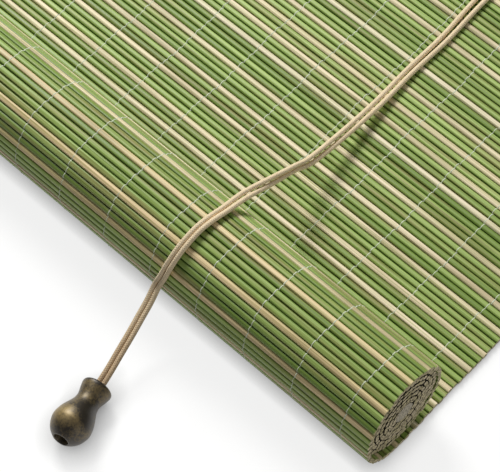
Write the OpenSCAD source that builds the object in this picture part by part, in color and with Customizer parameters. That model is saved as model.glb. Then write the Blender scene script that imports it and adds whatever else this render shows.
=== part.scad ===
// Bamboo roll-up blind, lying front side up with its lower end rolled up.
// X runs along the slats, Y up the blind towards the head rail, Z away from
// the wall side. The origin is under the middle of the part. Millimetres.

/* [Mat] */
// Length of the slats, which is the width of the blind
blind_w = 900; // [600:10:1200]
// Distance from one slat to the next
slat_pitch = 3.45; // [2.5:0.05:5]
// Thickness of a slat
slat_t = 2.5; // [1.5:0.1:4]
// Thickness that the threads hold together between two slats
web_t = 0.8; // [0.4:0.1:1.4]
// Width of the slope at each edge of a slat
slat_edge = 0.6; // [0.2:0.05:1]
// Height of the rounded front of a slat above its shoulders
slat_crown = 0.45; // [0.1:0.05:0.8]
// Number of slats that lie flat
flat_slats = 120; // [60:1:160]

/* [Roll] */
// Radius of the outermost turn where it meets the flat mat
roll_r = 28; // [22:0.5:36]
// Play between one turn and the next
turn_gap = 0.3; // [0.2:0.05:0.6]
// Gap between the last flat slat and the first rolled one
seam_gap = 0.3; // [0.2:0.05:0.6]
// Radius of the bottom rod in the middle of the roll
rod_r = 5.6; // [4:0.1:6]
// Play between the innermost turn and the rod
core_play = 0.3; // [0.2:0.05:0.6]

/* [Head rail] */
// Height of the rail along the blind
rail_h = 34; // [24:1:50]
// Depth of the rail in front of the mat
rail_t = 14; // [10:0.5:20]
// Chamfer along the rail's front edges
rail_bevel = 1.5; // [0.5:0.1:3]
// Distance of the first nail from the rail's end
nail_in = 30; // [15:1:60]
// Number of nails that hold the mat to the rail
nail_count = 7; // [3:1:11]
// Radius of a nail
nail_r = 0.8; // [0.5:0.1:1.2]
// Radius of a nail's sunk head
nail_head_r = 2.2; // [1.5:0.1:3]
// Thickness of a nail's sunk head
nail_head_t = 0.6; // [0.4:0.1:1]

/* [Hangers] */
// Distance of a hanging hole from the rail's end
hang_in = 60; // [30:5:75]
// Width of a hanger plate
hang_w = 18; // [12:1:26]
// Thickness of a hanger plate
hang_t = 1.5; // [1:0.1:3]
// How far a hanging hole lies above the rail
hang_rise = 10; // [8:0.5:20]
// Overlap of a hanger plate on the rail
hang_lap = 24; // [18:1:30]
// Radius of a hanging hole
hang_hole_r = 3; // [2:0.1:4]
// Distance of a plate's lower screw from the plate's lower end
plate_margin = 6; // [5:0.5:7]
// Distance between the two screws of a plate
plate_screws_apart = 12; // [10:0.5:14]

/* [Screws] */
// Radius of a screw's shank
screw_r = 1.4; // [1:0.1:2]
// Radius of a screw's head
screw_head_r = 3; // [2.2:0.1:4]
// Height of a screw's head
screw_head_t = 1.6; // [1:0.1:2.5]
// Depth of a screw in the rail
screw_depth = 9; // [6:0.5:12]
// Play round a screw in a plate
screw_play = 0.3; // [0.1:0.05:0.5]

/* [Cord lock] */
// Distance of the pull cords from the right end of the slats
pull_in = 131; // [80:1:250]
// Thickness of the frame's sheet
frame_t = 1.2; // [0.8:0.1:2]
// Length of the frame up the blind
frame_h = 24; // [20:1:30]
// Radius of a sheave's flanges
sheave_r = 9; // [7:0.5:11]
// Width of a sheave
sheave_w = 6; // [5:0.5:8]
// Play at the sides of a sheave
side_play = 0.3; // [0.1:0.05:0.5]
// Radius of the sheave's pin
pin_r = 2; // [1.5:0.1:3]
// Running play of a bore on its pin
run_play = 0.05; // [0.02:0.01:0.1]
// Radius of the cam's pin
cam_pin_r = 1.5; // [1:0.1:2]
// Reach of the cam's nose from its pin
cam_reach = 6.9; // [6:0.1:7.1]

/* [Pull cords] */
// Diameter of a cord
cord_d = 2.5; // [1.5:0.1:3.5]
// Play between a cord and what it passes
cord_play = 0.3; // [0.2:0.05:0.5]

/* [Pull knob] */
// Length of the knob
knob_l = 32.2; // [26:0.2:40]
// Radius of the knob's rim, where the cords go in
rim_r = 7.7; // [5:0.1:9]
// Radius of the knob's neck
neck_r = 6.1; // [4:0.1:7]
// Radius of the knob's bulb
bulb_r = 10.1; // [8:0.1:13]
// Radius of the bore for the two cords
bore_r = 2.8; // [2.6:0.1:4]
// Radius of the pocket that hides the knot
pocket_r = 3.7; // [3.4:0.1:5]
// Depth of the pocket
pocket_l = 8; // [6:0.5:12]

/* [Hidden] */
$fn = 48;
eps = 0.01;
cord_r = cord_d/2;
layer = slat_t + turn_gap;
mid_r = roll_r - slat_t/2;
core_r = rod_r + core_play + slat_t/2;
roll_slats = floor(PI*(mid_r*mid_r - core_r*core_r)/(layer*slat_pitch));
flat_len = flat_slats*slat_pitch;
front_r = roll_r - layer/4;
hang_top = hang_rise + hang_w/2;
roll_y = -(flat_len + hang_top - front_r)/2;
right_x = blind_w/2;
hang_spacing = blind_w - 2*hang_in;
rail_top = roll_y + flat_len;
rail_low = rail_top - rail_h;
face_z = slat_t + rail_t;

// Place along the roll: angle from its lowest point, radius, and the spot at
// a distance s along the mat and an offset towards the mat's back.
function turn(s) = (mid_r - sqrt(mid_r*mid_r - layer*s/PI))*2*PI/layer;
function turn_r(s) = mid_r - layer*turn(s)/(2*PI);
function deg(a) = a*180/PI;
function spot(s, off) =
    [roll_y - (turn_r(s) + off)*sin(deg(turn(s))), roll_r - (turn_r(s) + off)*cos(deg(turn(s)))];

// Outline of one slat's back and of its front: distance along, offset.
half_t = slat_t/2;
slat_back = [[0, web_t/2], [slat_edge, half_t], [slat_pitch - slat_edge, half_t]];
slat_front = [
    [0, -web_t/2],
    [slat_edge, slat_crown - half_t],
    [slat_pitch/2, -half_t],
    [slat_pitch - slat_edge, slat_crown - half_t]
];

roll_back = [for (i = [0:roll_slats - 1]) for (p = slat_back) spot(i*slat_pitch + p[0], p[1])];
roll_front = [for (i = [0:roll_slats - 1]) for (p = slat_front) spot(i*slat_pitch + p[0], p[1])];
roll_end = [spot(roll_slats*slat_pitch, web_t/2), spot(roll_slats*slat_pitch, -web_t/2)];

function flat_at(s, off) = [roll_y + max(s, seam_gap), half_t - off];
flat_back = [for (i = [0:flat_slats - 1]) for (p = slat_back) flat_at(i*slat_pitch + p[0], p[1])];
flat_front = [for (i = [0:flat_slats - 1]) for (p = slat_front) flat_at(i*slat_pitch + p[0], p[1])];
flat_end = [flat_at(flat_len, web_t/2), flat_at(flat_len, -web_t/2)];

function flip(a) = [for (i = [len(a) - 1:-1:0]) a[i]];

// Lock: sheave centre, heights of the two sheaves, the frame's inside.
groove_r = sheave_r - 2.5;
wrap_r = groove_r + cord_play + cord_r;
lock_x = right_x - pull_in - wrap_r;
lock_y = rail_low + 14;
lower_z = face_z + frame_t + side_play + sheave_w/2;
upper_z = lower_z + sheave_w + side_play;
roof_z = upper_z + sheave_w/2 + side_play;
cam_x = right_x - pull_in + cord_r + cord_play + cam_reach + 0.05;
cam_y = lock_y - 5;
frame_left = lock_x - sheave_r - 3;
frame_right = cam_x + 5;
ear = 11;
screw_left = frame_left - ear/2 - 0.5;
screw_right = frame_right + ear/2 + 0.5;
hang_screws = [hang_lap - plate_margin, hang_lap - plate_margin - plate_screws_apart];

// Knob: it lies on its rim and its bulb.
rim_s = 1.6;
bulb_s = 0.697*knob_l;
knob_tilt = atan((bulb_r - rim_r)/(bulb_s - rim_s));
knob_z = rim_r*cos(knob_tilt) - rim_s*sin(knob_tilt) + 0.05;
knob_turn = 13.3;
knob_at = [10.3 - pull_in, -2.811*roll_r];
knob_dir = [sin(knob_turn)*cos(knob_tilt), -cos(knob_turn)*cos(knob_tilt), sin(knob_tilt)];

// Routes of the two cords: from the right end of the slats, from the roll's
// axis, and above the floor. They start in the lock and end in the knob.
mat_z = slat_t + cord_r + 0.15;
function wrap(z) = concat(
    [[lock_x - right_x - 9, lock_y - roll_y + wrap_r, z]],
    [for (a = [90:-30:0])
        [lock_x - right_x + wrap_r*cos(a), lock_y - roll_y + wrap_r*sin(a), z]]);
function bore_end(side) = [for (s = [0, 12, knob_l - pocket_l - 0.3])
    [knob_at[0] + side*1.35*cos(knob_turn) + s*knob_dir[0],
     knob_at[1] + side*1.35*sin(knob_turn) + s*knob_dir[1],
     knob_z + s*knob_dir[2]]];

// The cords leave the lock 2 mm below the rail's edge and come down on the mat.
leave_y = rail_low - roll_y;
function drop(side, z) = [
    [side*0.2 - pull_in, leave_y - 2, z - cord_r/2 - 0.6],
    [side*1 - pull_in, leave_y - 24, mat_z + (z - mat_z)*0.45],
    [side*2 - pull_in, leave_y - 48, mat_z + 0.5],
    [side*2.2 - pull_in, leave_y - 80, mat_z]];

// Spots on the way: aside of the lock, along and up in roll radii, and how far
// the pair of cords is turned about itself.
on_mat = [
    [0.25, 8.929, 0, 0], [0.3, 7.357, 0, 0], [2, 6.286, 0, 0], [2, 5.357, 0.02, 10],
    [4, 4.214, 0.136, 20], [5.8, 2.732, 0.475, 55], [6.5, 2.143, 0.839, 80],
    [7, 1.55, 1.189, 60], [7.7, 0.954, 1.562, 25]];
over_roll = [
    [8.5, 0.464, 1.775, 5], [8.1, 0.107, 1.875, 0], [7.5, -0.179, 1.868, 0],
    [7, -0.529, 1.745, 0], [6.2, -0.807, 1.5, 0], [5.2, -0.962, 1.245, 0],
    [3, -1.048, 0.968, 0], [3.7, -1.286, 0.754, 0], [4.8, -1.571, 0.6, 0],
    [6.1, -1.857, 0.468, 0], [7.4, -2.164, 0.343, 0], [9.1, -2.5, 0.228, 0]];
function lay(spots, side) = [for (p = spots) let (half = side*max(1.3 + 0.4*sin(p[3]), p[1]*0.28))
    [p[0] + half*cos(p[3]) - pull_in, p[1]*roll_r, mat_z + p[2]*roll_r - half*sin(p[3])]];

route_left = concat(wrap(upper_z), drop(-1, upper_z), lay(on_mat, -1), lay(over_roll, -1), bore_end(-1));
route_right = concat(wrap(lower_z), drop(1, lower_z), lay(on_mat, 1), lay(over_roll, 1), bore_end(1));

// Tube of eight sides along a route, with one ring at each point.
sides = 8;
function unit(v) = v/norm(v);
function along(r, i) = unit(r[min(i + 1, len(r) - 1)] - r[max(i - 1, 0)]);
function across(r, i) = unit(cross([1, 0, 1], along(r, i)));
function ring(r, i) = let (a = across(r, i), b = cross(along(r, i), a))
    [for (k = [0:sides - 1])
        [right_x, roll_y, 0] + r[i] + cord_r*(cos(k*360/sides)*a + sin(k*360/sides)*b)];

module tube(r) {
    n = len(r);
    polyhedron(
        points = [for (i = [0:n - 1]) for (p = ring(r, i)) p],
        faces = concat(
            [[for (k = [0:sides - 1]) k]],
            [for (i = [0:n - 2]) for (k = [0:sides - 1])
                [i*sides + k, (i + 1)*sides + (k + 1)%sides, i*sides + (k + 1)%sides]],
            [for (i = [0:n - 2]) for (k = [0:sides - 1])
                [i*sides + k, (i + 1)*sides + k, (i + 1)*sides + (k + 1)%sides]],
            [[for (k = [sides - 1:-1:0]) (n - 1)*sides + k]]));
}

// Section across the slats, drawn in Y and Z, run out along X.
module along_x(length) {
    rotate([90, 0, 90]) linear_extrude(length, center = true) children();
}

module flat_mat() {
    color("OliveDrab") along_x(blind_w)
        polygon(concat(flat_back, flat_end, flip(flat_front)));
}

module roll_turns() {
    color("OliveDrab") along_x(blind_w)
        polygon(concat(roll_back, roll_end, flip(roll_front)));
}

module bottom_rod() {
    color("Tan") translate([0, roll_y, roll_r]) rotate([0, 90, 0])
        cylinder(h = blind_w - 2, r = rod_r, center = true);
}

module head_rail() {
    b = rail_bevel;
    color("BurlyWood") along_x(blind_w) polygon([
        [rail_low, slat_t], [rail_top, slat_t], [rail_top, face_z - b], [rail_top - b, face_z],
        [rail_low + b, face_z], [rail_low, face_z - b]]);
}

module rail_nails() {
    step = (blind_w - 2*nail_in)/(nail_count - 1);
    color("Silver") for (i = [0:nail_count - 1])
        translate([nail_in - blind_w/2 + i*step, rail_low + rail_h/2, 0]) {
            cylinder(h = nail_head_t, r = nail_head_r);
            cylinder(h = slat_t + rail_t*0.7, r = nail_r);
        }
}

module hanger(x) {
    color("Gainsboro") translate([x, rail_top, face_z]) difference() {
        union() {
            translate([-hang_w/2, -hang_lap, 0]) cube([hang_w, hang_lap + hang_rise, hang_t]);
            translate([0, hang_rise, 0]) cylinder(h = hang_t, r = hang_w/2);
        }
        translate([0, hang_rise, -1]) cylinder(h = hang_t + 2, r = hang_hole_r);
        for (d = hang_screws)
            translate([0, -d, -1]) cylinder(h = hang_t + 2, r = screw_r + screw_play);
    }
}

module hanger_left() {
    hanger(-hang_spacing/2);
}

module hanger_right() {
    hanger(hang_spacing/2);
}

module screw(x, y, z) {
    translate([x, y, face_z - screw_depth]) cylinder(h = screw_depth + z, r = screw_r);
    translate([x, y, face_z + z]) cylinder(h = screw_head_t, r = screw_head_r);
}

module hanger_screws() {
    color("Silver") for (side = [-1, 1]) for (d = hang_screws)
        screw(side*hang_spacing/2, rail_top - d, hang_t);
}

module lock_frame() {
    color("Silver") difference() {
        translate([0, lock_y, 0]) rotate([90, 0, 0]) linear_extrude(frame_h, center = true) polygon([
            [frame_left - ear, face_z], [frame_right + ear, face_z],
            [frame_right + ear, face_z + frame_t], [frame_left + frame_t, face_z + frame_t],
            [frame_left + frame_t, roof_z], [frame_right, roof_z],
            [frame_right, roof_z + frame_t], [frame_left, roof_z + frame_t],
            [frame_left, face_z + frame_t], [frame_left - ear, face_z + frame_t]]);
        translate([lock_x, lock_y, 0]) cylinder(h = roof_z + 5, r = pin_r + 0.02);
        translate([cam_x, cam_y, 0]) cylinder(h = roof_z + 5, r = cam_pin_r + 0.02);
        for (x = [screw_left, screw_right])
            translate([x, lock_y, 0]) cylinder(h = roof_z, r = screw_r + screw_play);
    }
}

module sheave(z) {
    w = sheave_w/2;
    color("DimGray") translate([lock_x, lock_y, z]) rotate_extrude() polygon([
        [pin_r + run_play, -w], [sheave_r, -w], [sheave_r, -w + 0.6], [groove_r, -0.9],
        [groove_r, 0.9], [sheave_r, w - 0.6], [sheave_r, w], [pin_r + run_play, w]]);
}

module lock_sheave_lower() {
    sheave(lower_z);
}

module lock_sheave_upper() {
    sheave(upper_z);
}

// Rivet through both walls of the frame, with a round head on the front.
module rivet(x, y, r) {
    translate([x, y, face_z + 0.1]) cylinder(h = roof_z + frame_t - face_z, r = r);
    translate([x, y, roof_z + frame_t + 0.05]) cylinder(h = 1, r = r + 1.2);
}

module lock_pin() {
    color("Silver") rivet(lock_x, lock_y, pin_r);
}

module cam_pin() {
    color("Silver") rivet(cam_x, cam_y, cam_pin_r);
}

module lock_cam() {
    low = face_z + frame_t + side_play;
    color("DimGray") translate([cam_x, cam_y, low]) linear_extrude(roof_z - side_play - low)
        difference() {
            union() {
                circle(r = 3.8);
                polygon([[0, 3.6], [-cam_reach + 0.9, 1.4], [-cam_reach, -0.6],
                    [-cam_reach + 0.6, -1.2], [-cam_reach + 0.25, -2.4], [-3.6, -3.2], [0, -3.4]]);
            }
            circle(r = cam_pin_r + run_play);
        }
}

module frame_screws() {
    color("Silver") for (x = [screw_left, screw_right]) screw(x, lock_y, frame_t);
}

module pull_cord_left() {
    color("Wheat") tube(route_left);
}

module pull_cord_right() {
    color("Wheat") tube(route_right);
}

// Turned pieces of the knob stand on their axis, from the rim to the far end.
module on_knob() {
    translate([right_x + knob_at[0], roll_y + knob_at[1], knob_z])
        rotate([0, 0, knob_turn]) rotate([90 - knob_tilt, 0, 0]) children();
}

module pull_knob() {
    l = knob_l;
    color("DarkGoldenrod") on_knob() rotate_extrude() polygon([
        [bore_r, 0], [rim_r - 0.7, 0], [rim_r - 0.15, 0.5], [rim_r, rim_s], [rim_r - 0.3, 3],
        [neck_r + 0.85, 0.151*l], [neck_r + 0.3, 0.208*l], [neck_r, 0.276*l],
        [neck_r + 0.3, 0.349*l], [neck_r + 1.1, 0.416*l], [neck_r + 2.3, 0.5*l],
        [bulb_r - 0.7, 0.583*l], [bulb_r, bulb_s], [bulb_r - 0.3, 0.775*l],
        [bulb_r - 1.4, 0.865*l], [bulb_r - 3, 0.935*l], [bulb_r - 4.7, 0.98*l],
        [bulb_r - 5.6, l], [pocket_r, l], [pocket_r, l - pocket_l],
        [bore_r, l - pocket_l]]);
}

module pull_knot() {
    z = knob_l - pocket_l;
    r = pocket_r - 0.5;
    color("Wheat") on_knob() rotate_extrude() polygon([
        [0, z + 0.1], [r - 0.8, z + 0.1], [r, z + 0.9], [r, z + 2.6], [r - 0.8, z + 3.6], [0, z + 4]]);
}

flat_mat();
roll_turns();
bottom_rod();
head_rail();
rail_nails();
hanger_left();
hanger_right();
hanger_screws();
lock_frame();
lock_sheave_lower();
lock_sheave_upper();
lock_pin();
lock_cam();
cam_pin();
frame_screws();
pull_cord_left();
pull_cord_right();
pull_knob();
pull_knot();
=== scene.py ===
"""Looks of a bamboo roll-up blind that lies front side up, its lower end rolled up.

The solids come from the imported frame. This file adds the slats, the woven threads,
the braided pull cords and the aged knob, gives every piece its material, and sets
the floor, the light and the camera.
"""

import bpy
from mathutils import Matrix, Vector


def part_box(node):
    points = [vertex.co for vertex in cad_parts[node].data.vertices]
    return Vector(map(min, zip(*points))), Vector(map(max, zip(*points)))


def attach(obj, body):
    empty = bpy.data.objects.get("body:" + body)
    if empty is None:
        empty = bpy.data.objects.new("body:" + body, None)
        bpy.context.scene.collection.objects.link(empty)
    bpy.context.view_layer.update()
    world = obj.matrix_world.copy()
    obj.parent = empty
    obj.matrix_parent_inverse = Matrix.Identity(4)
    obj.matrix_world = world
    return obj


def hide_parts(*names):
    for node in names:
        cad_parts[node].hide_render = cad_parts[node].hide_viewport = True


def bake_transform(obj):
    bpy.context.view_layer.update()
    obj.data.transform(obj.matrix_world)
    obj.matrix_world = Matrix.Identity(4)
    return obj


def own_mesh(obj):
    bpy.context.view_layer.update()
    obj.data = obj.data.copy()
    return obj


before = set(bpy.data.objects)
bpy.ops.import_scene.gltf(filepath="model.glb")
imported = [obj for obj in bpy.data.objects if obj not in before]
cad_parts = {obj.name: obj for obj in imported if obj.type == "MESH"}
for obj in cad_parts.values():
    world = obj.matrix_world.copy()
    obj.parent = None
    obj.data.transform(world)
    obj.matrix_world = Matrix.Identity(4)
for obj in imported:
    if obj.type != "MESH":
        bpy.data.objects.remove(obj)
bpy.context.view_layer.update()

import itertools
import math
import random

import bmesh
import bpy
import numpy as np
from bpy.props import FloatProperty, FloatVectorProperty, IntProperty, PointerProperty
from mathutils import Matrix, Vector

bl_info = {
    "name": "Bamboo roll-up blind",
    "version": (1, 0, 0),
    "blender": (4, 5, 0),
    "location": "3D View > Sidebar > Blind",
    "description": "Dresses a roll-up blind with slats, threads, pull cords and a knob",
    "category": "Object",
}

MM = 0.001


def linear(code):
    """sRGB hex colour as linear RGBA."""
    parts = [int(code[i:i + 2], 16) / 255 for i in (1, 3, 5)]
    low_high = [p / 12.92 if p <= 0.04045 else ((p + 0.055) / 1.055) ** 2.4 for p in parts]
    return (*low_high, 1.0)


class SlatSizes(bpy.types.PropertyGroup):
    """Sizes and colours of the slats and of the threads that hold them."""

    length: FloatProperty(name="Length", description="Length of a slat", default=900 * MM, unit="LENGTH")
    pitch: FloatProperty(
        name="Pitch", description="Distance from one slat to the next", default=3.45 * MM, unit="LENGTH"
    )
    thickness: FloatProperty(
        name="Thickness", description="Thickness of a slat", default=2.5 * MM, unit="LENGTH"
    )
    width: FloatProperty(name="Width", description="Width of a slat", default=3.4 * MM, unit="LENGTH")
    flat_count: IntProperty(name="Flat slats", description="Slats that lie flat", default=120, min=2)
    taken_count: IntProperty(
        name="Slats taken up", description="Flat slats that the roll takes up as it rises", default=80
    )
    roll_count: IntProperty(name="Rolled slats", description="Slats in the roll", default=216, min=2)
    roll_radius: FloatProperty(
        name="Roll radius", description="Radius of the outermost turn", default=28 * MM, unit="LENGTH"
    )
    layer: FloatProperty(
        name="Layer", description="Distance from one turn to the next", default=2.8 * MM, unit="LENGTH"
    )
    phase: FloatProperty(
        name="Phase", description="Place of the first flat slat above the roll's axis, in slats", default=0.2
    )
    roll_y: FloatProperty(
        name="Roll axis", description="Place of the roll's axis along Y", default=-202.85 * MM, unit="LENGTH"
    )
    thread_spacing: FloatProperty(
        name="Thread spacing", description="Distance between warp threads", default=30 * MM, unit="LENGTH"
    )
    thread_margin: FloatProperty(
        name="Thread margin", description="First thread from the right end", default=16 * MM, unit="LENGTH"
    )
    thread_width: FloatProperty(
        name="Thread width", description="Width of a warp thread", default=0.5 * MM, unit="LENGTH"
    )
    green: FloatVectorProperty(
        name="Green", description="Stained slat", subtype="COLOR", size=4, default=linear("#aec570")
    )
    deep_green: FloatVectorProperty(
        name="Deep green", description="Darker stained slat",
        subtype="COLOR", size=4, default=linear("#7a943f"),
    )
    cream: FloatVectorProperty(
        name="Cream", description="Natural slat", subtype="COLOR", size=4, default=linear("#ece2c0")
    )
    tan: FloatVectorProperty(
        name="Tan", description="Darker natural slat", subtype="COLOR", size=4, default=linear("#ebd3a0")
    )


class CordSizes(bpy.types.PropertyGroup):
    """Sizes and colours of the pull cords and their knob."""

    diameter: FloatProperty(
        name="Diameter", description="Diameter of a cord", default=2.5 * MM, unit="LENGTH"
    )
    cotton: FloatVectorProperty(
        name="Cotton", description="Cord", subtype="COLOR", size=4, default=linear("#fde9c6")
    )
    knob_length: FloatProperty(
        name="Knob length", description="Length of the knob", default=32.2 * MM, unit="LENGTH"
    )
    rim_radius: FloatProperty(
        name="Rim radius", description="Radius of the knob's rim", default=7.7 * MM, unit="LENGTH"
    )
    neck_radius: FloatProperty(
        name="Neck radius", description="Radius of the knob's neck", default=6.1 * MM, unit="LENGTH"
    )
    bulb_radius: FloatProperty(
        name="Bulb radius", description="Radius of the knob's bulb", default=10.1 * MM, unit="LENGTH"
    )
    bore_radius: FloatProperty(
        name="Bore radius", description="Radius of the hole for the cords", default=2.8 * MM, unit="LENGTH"
    )
    pocket_radius: FloatProperty(
        name="Pocket radius", description="Radius of the pocket for the knot", default=3.7 * MM, unit="LENGTH"
    )
    knob_turn: FloatProperty(
        name="Knob turn", description="Heading of the knob on the floor",
        default=math.radians(13.3), unit="ROTATION",
    )
    brass: FloatVectorProperty(
        name="Brass", description="Rubbed metal of the knob",
        subtype="COLOR", size=4, default=linear("#a8905a"),
    )
    patina: FloatVectorProperty(
        name="Patina", description="Dark patina of the knob",
        subtype="COLOR", size=4, default=linear("#2c2419"),
    )


def deselect():
    """Leaves nothing selected."""
    bpy.ops.object.select_all(action="DESELECT")


def take(*objects):
    """Selects these objects alone, the last one active."""
    deselect()
    for obj in objects:
        obj.select_set(True)
    bpy.context.view_layer.objects.active = objects[-1]


def link(obj):
    """Links a new object to the scene."""
    bpy.context.collection.objects.link(obj)


def copied(model):
    """A copy with its own mesh, linked to the scene."""
    copy = model.copy()
    copy.data = model.data.copy()
    link(copy)
    return copy


def joined(name, objects):
    """One object from copies, with its place in its mesh."""
    take(*objects)
    bpy.ops.object.join()
    piece = bpy.context.object
    piece.name = name
    piece.data.name = name
    return piece


def fill(tree, node, inputs):
    """Gives a node's inputs their values and their links."""
    for key, value in inputs.items():
        if isinstance(value, bpy.types.NodeSocket):
            tree.links.new(value, node.inputs[key])
        else:
            node.inputs[key].default_value = value


def add_node(tree, kind, inputs=None, **settings):
    """Adds a node with its settings, its values and its links."""
    node = tree.nodes.new(kind)
    for name, value in settings.items():
        setattr(node, name, value)
    fill(tree, node, inputs or {})
    return node


def start_material(name):
    """A new material with its node tree and its shader."""
    material = bpy.data.materials.new(name)
    material.use_nodes = True
    return material, material.node_tree, material.node_tree.nodes["Principled BSDF"]


def bamboo_skin(sizes):
    """Split bamboo, stained or natural: a satin skin with long fibres and weak blotches.

    The slat_tone attribute holds the kind of slat, its own tone and whether it lies deep in the roll, where
    it gets painted shade.
    """
    material, tree, shader = start_material("split_bamboo")
    place = add_node(tree, "ShaderNodeTexCoord").outputs["Object"]
    tone = add_node(tree, "ShaderNodeAttribute", attribute_name="slat_tone").outputs["Color"]
    kind = add_node(tree, "ShaderNodeSeparateColor", {"Color": tone})
    # Fibres are 60 mm long and 0.5 mm wide, blotches 70 mm long and 3 mm wide.
    along = add_node(tree, "ShaderNodeMapping", {"Vector": place, "Scale": (16, 1900, 1900)})
    fibre = add_node(tree, "ShaderNodeTexNoise", {"Vector": along.outputs[0], "Scale": 1.0, "Detail": 3.0})
    wide = add_node(tree, "ShaderNodeMapping", {"Vector": place, "Scale": (14, 330, 330)})
    blotch = add_node(tree, "ShaderNodeTexNoise", {"Vector": wide.outputs[0], "Scale": 1.0, "Detail": 2.0})
    green = add_node(
        tree, "ShaderNodeMix",
        {0: kind.outputs["Green"], 6: tuple(sizes.green), 7: tuple(sizes.deep_green)}, data_type="RGBA",
    )
    cream = add_node(
        tree, "ShaderNodeMix",
        {0: kind.outputs["Green"], 6: tuple(sizes.cream), 7: tuple(sizes.tan)}, data_type="RGBA",
    )
    base = add_node(
        tree, "ShaderNodeMix",
        {0: kind.outputs["Red"], 6: green.outputs[2], 7: cream.outputs[2]}, data_type="RGBA",
    )
    stain = add_node(
        tree, "ShaderNodeMapRange",
        {"Value": blotch.outputs["Fac"], "From Min": 0.48, "From Max": 0.72, "To Max": 0.65},
    )
    warm = add_node(
        tree, "ShaderNodeMix",
        {0: stain.outputs[0], 6: base.outputs[2], 7: linear("#988658")}, data_type="RGBA",
    )
    # Fibres streak dark and pale: dark ones more saturated, pale ones bluish white, a painted highlight along
    # the slats.
    streak = add_node(
        tree, "ShaderNodeMapRange", {"Value": fibre.outputs["Fac"], "From Min": 0.25, "From Max": 0.75},
    )
    shade = add_node(
        tree, "ShaderNodeMix",
        {0: streak.outputs[0], 6: (0.55, 0.63, 0.36, 1), 7: (1.34, 1.28, 1.45, 1)}, data_type="RGBA",
    )
    colour = add_node(
        tree, "ShaderNodeVectorMath", {0: warm.outputs[2], 1: shade.outputs[2]}, operation="MULTIPLY"
    )
    # Painted shade in the gaps between slats: the sides of a stained slat are painted dark, those of a
    # natural one only a little.
    side = add_node(tree, "ShaderNodeAttribute", attribute_name="slat_flank_shade").outputs["Fac"]
    gap_shade_strength = add_node(
        tree, "ShaderNodeMapRange", {"Value": kind.outputs["Red"], "To Min": 1.0, "To Max": 0.35}
    )
    # How much painted shade a slat's side gets.
    stained = add_node(tree, "ShaderNodeMath", {0: side, 1: gap_shade_strength.outputs[0]}, operation="MULTIPLY")
    split = add_node(
        tree, "ShaderNodeMix",
        {0: stained.outputs[0], 6: (1, 1, 1, 1), 7: (0.20, 0.29, 0.05, 1)}, data_type="RGBA",
    )
    gap_shaded = add_node(
        tree, "ShaderNodeVectorMath", {0: colour.outputs[0], 1: split.outputs[2]}, operation="MULTIPLY"
    )
    # Painted shade: inside the roll the skin is painted dark brown, since little light comes in there.
    inner = add_node(
        tree, "ShaderNodeMix",
        {0: kind.outputs["Blue"], 6: gap_shaded.outputs[0], 7: linear("#2b281b")}, data_type="RGBA",
    )
    rough = add_node(
        tree, "ShaderNodeMapRange",
        {"Value": fibre.outputs["Fac"], "From Min": 0.2, "From Max": 0.8, "To Min": 0.36, "To Max": 0.55},
    )
    bump = add_node(
        tree, "ShaderNodeBump", {"Height": fibre.outputs["Fac"], "Strength": 0.35, "Distance": 0.15 * MM}
    )
    fill(tree, shader, {
        "Base Color": inner.outputs[2], "Roughness": rough.outputs[0], "Normal": bump.outputs[0],
        "Specular IOR Level": 0.45,
    })
    return material


def bamboo_cut():
    """Sawn bamboo ends: dull and pale, with dark pores drawn 0.9 mm wide so that they show."""
    material, tree, shader = start_material("sawn_bamboo_end")
    place = add_node(tree, "ShaderNodeTexCoord").outputs["Object"]
    tone = add_node(tree, "ShaderNodeAttribute", attribute_name="slat_tone").outputs["Color"]
    kind = add_node(tree, "ShaderNodeSeparateColor", {"Color": tone})
    pores = add_node(tree, "ShaderNodeTexNoise", {"Vector": place, "Scale": 1150.0, "Detail": 2.0})
    pale = add_node(
        tree, "ShaderNodeMix",
        {0: kind.outputs["Green"], 6: linear("#f6e6bf"), 7: linear("#d6c998")}, data_type="RGBA",
    )
    dark = add_node(
        tree, "ShaderNodeMapRange",
        {"Value": pores.outputs["Fac"], "From Min": 0.35, "From Max": 0.65, "To Min": 0.32, "To Max": 1.2},
    )
    colour = add_node(
        tree, "ShaderNodeVectorMath", {0: pale.outputs[2], 1: dark.outputs[0]}, operation="MULTIPLY"
    )
    bump = add_node(
        tree, "ShaderNodeBump", {"Height": pores.outputs["Fac"], "Strength": 0.5, "Distance": 0.2 * MM}
    )
    fill(tree, shader, {"Base Color": colour.outputs[0], "Normal": bump.outputs[0], "Roughness": 0.85})
    return material


def warp_thread():
    """Clear nylon and cotton warp thread: pale, a little green from what lies under it."""
    material, tree, shader = start_material("warp_thread")
    place = add_node(tree, "ShaderNodeTexCoord").outputs["Object"]
    # Fuzz is drawn 1.1 mm wide, coarser than it is, so that it shows.
    fuzz = add_node(tree, "ShaderNodeTexNoise", {"Vector": place, "Scale": 900.0, "Detail": 2.0})
    colour = add_node(
        tree, "ShaderNodeMix",
        {0: fuzz.outputs["Fac"], 6: linear("#bccaa0"), 7: linear("#eef1e0")}, data_type="RGBA",
    )
    fill(tree, shader, {"Base Color": colour.outputs[2], "Roughness": 0.55})
    return material


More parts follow.
